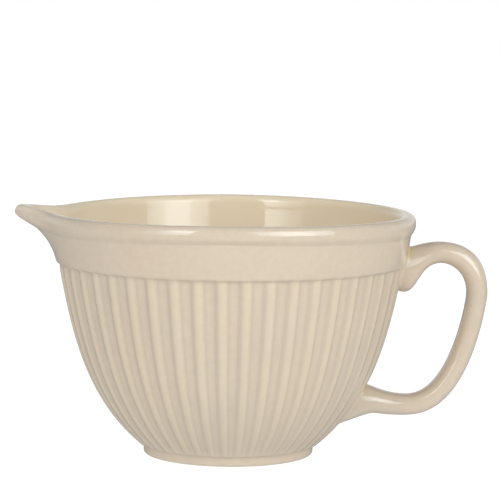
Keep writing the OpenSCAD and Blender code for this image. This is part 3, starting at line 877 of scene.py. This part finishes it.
# Painted shade at the silhouette, on the outside only.
painted_silhouette_shade(tree, shader, attribute(tree, "edge", (-900, -450)))
dry_mask = attribute(tree, "dry_foot", (-900, 900))
tint_by(tree, shader, dry_mask, DRY_CLAY, 1.0, (200, 200))
glazed_roughness = shader.inputs["Roughness"].links[0].from_socket
rough = mixed(tree, dry_mask, glazed_roughness, DRY_ROUGHNESS, (100, -100), "FLOAT")
tree.links.new(rough, shader.inputs["Roughness"])
body.data.materials.append(body_glaze)
print("body_glaze now has", len(tree.nodes), "nodes")

# %% [markdown]
# ## The handle's and the joints' colours
#
# The handle and the slip round its roots are dipped in the same cream. Glaze that runs down
# stays along the top of each root and turns yellow there. These pools could be drops of their
# own, but they lie flush with the glaze around them, so a mask is enough.

# %% The handle's and the slip's glaze
POOL_YELLOW, HANDLE_POOL, SLIP_POOL = (0.60, 0.49, 0.27), 0.7, 0.8

handle_glaze, tree, shader = glaze_material("handle_glaze", patches=26.0, amount=0.4)
tint_by(tree, shader, attribute(tree, "pool", (-500, 300)), POOL_YELLOW, HANDLE_POOL, (0, 200))
# Painted shade where the handle turns away at its silhouette.
painted_silhouette_shade(tree, shader)
handle.data.materials.append(handle_glaze)
slip_glaze, tree, shader = glaze_material("slip_glaze", patches=40.0, amount=0.3)
tint_by(tree, shader, attribute(tree, "pool", (-500, 300)), POOL_YELLOW, SLIP_POOL, (0, 200))
for name in ("upper_slip_fillet", "lower_slip_fillet"):
    bpy.data.objects[name].data.materials.append(slip_glaze)
print("materials:", [m.name for m in bpy.data.materials])

# %% [markdown]
# ## The camera
#
# The photograph was taken with a long lens from a little above the rim, square to the plane of
# the lip and handle. The eye, the point it looks at, the roll and the focal length were fitted to
# the bowl's outline in the photograph, so that the render can be laid over it.

# %% Camera
EYE, AIM, ROLL = Vector((-0.0123, -1.5, 0.271685)), Vector((-0.000774, 0.0, 0.116028)), 0.0113
SENSOR_WIDTH, FOCAL_LENGTH = 36, 191.68

forward = (AIM - EYE).normalized()
level = forward.cross(Vector((0, 0, 1))).normalized()
above = level.cross(forward)
right = level * np.cos(ROLL) + above * np.sin(ROLL)
up = right.cross(forward)
camera_data = bpy.data.cameras.new("camera")
camera_data.sensor_fit = "HORIZONTAL"
camera_data.sensor_width = SENSOR_WIDTH
camera_data.lens = FOCAL_LENGTH
camera = bpy.data.objects.new("camera", camera_data)
camera.matrix_world = Matrix((
    (right.x, up.x, -forward.x, EYE.x),
    (right.y, up.y, -forward.y, EYE.y),
    (right.z, up.z, -forward.z, EYE.z),
    (0, 0, 0, 1),
))
bpy.context.scene.collection.objects.link(camera)
bpy.context.scene.camera = camera
print("camera at", [round(v, 3) for v in EYE])

# %% [markdown]
# ## The floor and the studio
#
# The ground of the photograph is white. The rest of the studio is dim, so the silhouettes turn
# slightly grey, but a pale backdrop stands low behind the bowl. One brightness can't give all
# three, so the floor and the world each have one for the light that they shed, one for what the
# glaze mirrors, and one for the camera. A tenth of what the camera sees of the floor is plain
# diffuse white, which carries the bowl's faint shadow.

# %% Shaders chosen by the ray
def mixed_shader(tree, share, first, second, at):
    """Mixes two shaders. Returns the mix."""
    made = node(tree, "ShaderNodeMixShader", at)
    feed(tree, (share, first, second), made.inputs)
    return made.outputs["Shader"]


def by_ray(tree, shed, mirrored, seen, at):
    """The shader of a surface that sheds one light, shows another in the glaze and a third to the
    camera."""
    path = node(tree, "ShaderNodeLightPath", (at[0] - 400, at[1] + 300)).outputs
    unseen = mixed_shader(tree, path["Is Glossy Ray"], shed, mirrored, (at[0] - 200, at[1] + 150))
    return mixed_shader(tree, path["Is Camera Ray"], unseen, seen, at)


print("shader helpers:", mixed_shader.__name__, by_ray.__name__)

# %% Floor
FLOOR_HALF = 6.0
FLOOR_SHED, FLOOR_MIRRORED, FLOOR_GLOW, GLOW_SHARE = 0.95, 0.30, 1.12, 0.9
FLOOR_WHITE = (0.9, 0.9, 0.9, 1)

floor_mesh = bpy.data.meshes.new("floor")
signs = ((-1, -1), (1, -1), (1, 1), (-1, 1))
floor_mesh.from_pydata([(x * FLOOR_HALF, y * FLOOR_HALF, 0) for x, y in signs], [], [(0, 1, 2, 3)])
floor = bpy.data.objects.new("floor", floor_mesh)
bpy.context.scene.collection.objects.link(floor)
pale = bpy.data.materials.new("pale_floor")
pale.use_nodes = True
tree = pale.node_tree
tree.nodes.clear()
end = node(tree, "ShaderNodeOutputMaterial", (600, 0))
shed = node(tree, "ShaderNodeEmission", (0, 250), Strength=FLOOR_SHED)
mirrored = node(tree, "ShaderNodeEmission", (0, 100), Strength=FLOOR_MIRRORED)
shaded = node(tree, "ShaderNodeBsdfDiffuse", (0, -50), Color=FLOOR_WHITE)
glow = node(tree, "ShaderNodeEmission", (0, -200), Strength=FLOOR_GLOW)
seen = mixed_shader(tree, GLOW_SHARE, shaded.outputs[0], glow.outputs[0], (200, -100))
tree.links.new(by_ray(tree, shed.outputs[0], mirrored.outputs[0], seen, (400, 0)), end.inputs["Surface"])
floor_mesh.materials.append(pale)
print("floor of", 2 * FLOOR_HALF, "m with the material", pale.name)

# %% Dim studio with a white ground for the camera
WHITE, DIM, GROUND = (1.0, 1.0, 1.0, 1), 0.50, 1.0
BEHIND_LIMITS, LOW_LIMITS = (0.2, 0.7, 0.0, 1.0), (0.45, 0.20, 0.0, 1.0)
BACKDROP_LIMITS = (0.0, 1.0, 0.28, 0.95)

world = bpy.data.worlds.new("studio")
bpy.context.scene.world = world
world.use_nodes = True
tree = world.node_tree
tree.nodes.clear()
end = node(tree, "ShaderNodeOutputWorld", (600, 0))
where = node(tree, "ShaderNodeTexCoord", (-900, 400)).outputs["Generated"]
parts = node(tree, "ShaderNodeSeparateXYZ", (-720, 400))
tree.links.new(where, parts.inputs["Vector"])
behind = ranged(tree, parts.outputs["Y"], BEHIND_LIMITS, (-540, 450))
low = ranged(tree, parts.outputs["Z"], LOW_LIMITS, (-540, 200))
backdrop = maths(tree, "MULTIPLY", (behind, low), (-360, 350))
shed = node(tree, "ShaderNodeBackground", (0, 0), Color=WHITE, Strength=DIM)
mirrored = node(tree, "ShaderNodeBackground", (0, 150))
tree.links.new(ranged(tree, backdrop, BACKDROP_LIMITS, (-180, 350)), mirrored.inputs["Strength"])
seen = node(tree, "ShaderNodeBackground", (0, -150), Color=WHITE, Strength=GROUND)
surface = by_ray(tree, shed.outputs[0], mirrored.outputs[0], seen.outputs[0], (300, 0))
tree.links.new(surface, end.inputs["Surface"])
print("world", world.name, "sheds", DIM, "and mirrors", BACKDROP_LIMITS[2], "to", BACKDROP_LIMITS[3])

# %% [markdown]
# ## The softboxes
#
# Two softboxes stand at the front, left and right, and their reflections are the two windows
# inside the bowl and the two streaks on the rim. Each is made twice here: once as a lamp that
# only shades, and once as nested lamps that only show in reflections and add up to the uneven
# glow of cloth in front of a bulb. That way brightness and highlights can be set apart. Their
# lowest degree sets the windows' upper edge, because the inside wall leans back. The right one
# glows most in its middle, and the left one along its inner edge.

# %% A softbox
LAMPS_AIM, LAMPS_AWAY, NEST_STEP = Vector((0, 0, 0.09)), 1.3, 0.004
PLAIN_LIGHT, COOL_LIGHT = (1.0, 1.0, 1.0), (0.88, 0.96, 1.0)


def softbox(name, azimuth, elevation, distance, size, power, mirrored):
    """A rectangular area light that faces the bowl from an azimuth, counted from the camera's
    side towards +X, and an elevation, both in degrees. It lights the reflections or the shading."""
    data = bpy.data.lights.new(name, "AREA")
    data.shape, data.size, data.size_y, data.energy = "RECTANGLE", size[0], size[1], power
    data.color = COOL_LIGHT if mirrored else PLAIN_LIGHT
    a, e = np.radians(azimuth), np.radians(elevation)
    way = Vector((np.sin(a) * np.cos(e), -np.cos(a) * np.cos(e), np.sin(e)))
    turned = way.to_track_quat("Z", "Y").to_matrix().to_4x4()
    lamp = bpy.data.objects.new(name, data)
    lamp.matrix_world = Matrix.Translation(LAMPS_AIM + way * distance) @ turned
    lamp.visible_diffuse, lamp.visible_glossy = not mirrored, mirrored
    bpy.context.scene.collection.objects.link(lamp)


softbox("softbox_right", azimuth=40, elevation=23, distance=LAMPS_AWAY, size=(1.15, 1.0), power=8.0,
        mirrored=False)
softbox("softbox_left", azimuth=-37, elevation=23, distance=LAMPS_AWAY, size=(0.75, 1.0), power=4.9,
        mirrored=False)
print("lamps that shade:", [lamp.name for lamp in bpy.data.lights])

# %% The same softboxes in the glaze
# For each side: azimuth, width, how far the nested lamps move to the inner edge, and the lamps,
# each with its share of the width, its lowest and highest degree above the horizon, and its glow.
MIRRORED = {
    "right": (40, 1.17, 0.0, (
        (1.0, 4.8, 44, 11.0), (0.78, 5.1, 42, 2.6), (0.56, 5.4, 40, 3.8), (0.36, 5.7, 38, 7.4))),
    "left": (-39, 0.65, 1.0, (
        (1.0, 6.4, 44, 3.0), (0.68, 6.4, 42, 2.1), (0.5, 6.4, 40, 1.9), (0.34, 6.4, 38, 1.6),
        (0.45, 22, 44, 6.0))),
}
for side, (azimuth, width, inwards, cloths) in MIRRORED.items():
    for k, (share, low, high, glow) in enumerate(cloths):
        away = LAMPS_AWAY - NEST_STEP * k
        tall = 2 * away * np.tan(np.radians(high - low) / 2)
        aside = inwards * np.degrees(np.arctan(width / 2 / away) - np.arctan(width * share / 2 / away))
        softbox(f"mirrored_{side}_{k}", azimuth + aside, (low + high) / 2, away,
                (width * share, tall), share * tall * glow, True)
bpy.context.scene.view_settings.view_transform = "Standard"
